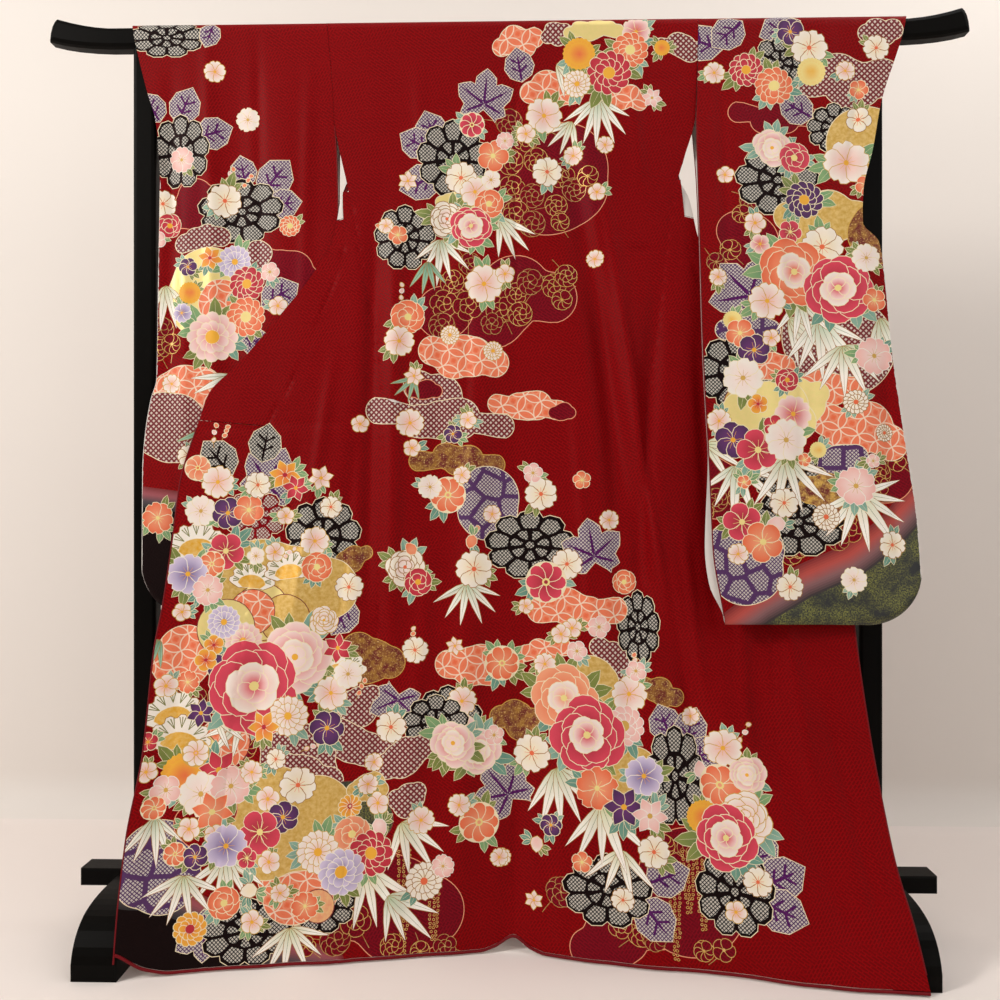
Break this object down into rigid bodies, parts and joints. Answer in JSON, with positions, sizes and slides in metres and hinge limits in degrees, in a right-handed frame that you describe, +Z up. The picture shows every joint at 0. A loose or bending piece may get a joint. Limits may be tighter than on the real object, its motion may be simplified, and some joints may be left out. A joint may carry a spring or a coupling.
{
  "type": "furisode kimono on a display stand",
  "caption": "Long-sleeved silk kimono with a flower-cloud print, hung open over the top bar of a black lacquered stand, its back to the front.",
  "frame": {"origin": "on the floor, under the middle of the whole", "axes": "+X along the stand's top bar, +Z up, -Y towards the viewer of the garment's back"},
  "size_m": [1.6, 0.4395, 1.596],
  "materials": {
    "red_silk": "figured crimson silk with a printed and gilded flower-cloud pattern, soft sheen",
    "white_lining": "plain off-white silk lining",
    "red_lining": "plain dark red silk lining, rolled",
    "black_lacquer": "satin black lacquer"
  },
  "bodies": {
    "root": {"back_left": "red_silk", "back_right": "red_silk", "front_left": "red_silk", "front_right": "red_silk", "okumi_left": "red_silk", "okumi_right": "red_silk", "collar": "red_silk", "sleeve_left": "red_silk", "sleeve_right": "red_silk", "sleeve_lining_left": "white_lining", "sleeve_lining_right": "white_lining", "hem_roll": "red_lining", "top_bar": "black_lacquer", "post_left": "black_lacquer", "post_right": "black_lacquer", "lower_bar": "black_lacquer", "foot_left": "black_lacquer", "foot_right": "black_lacquer"}
  },
  "joints": []
}
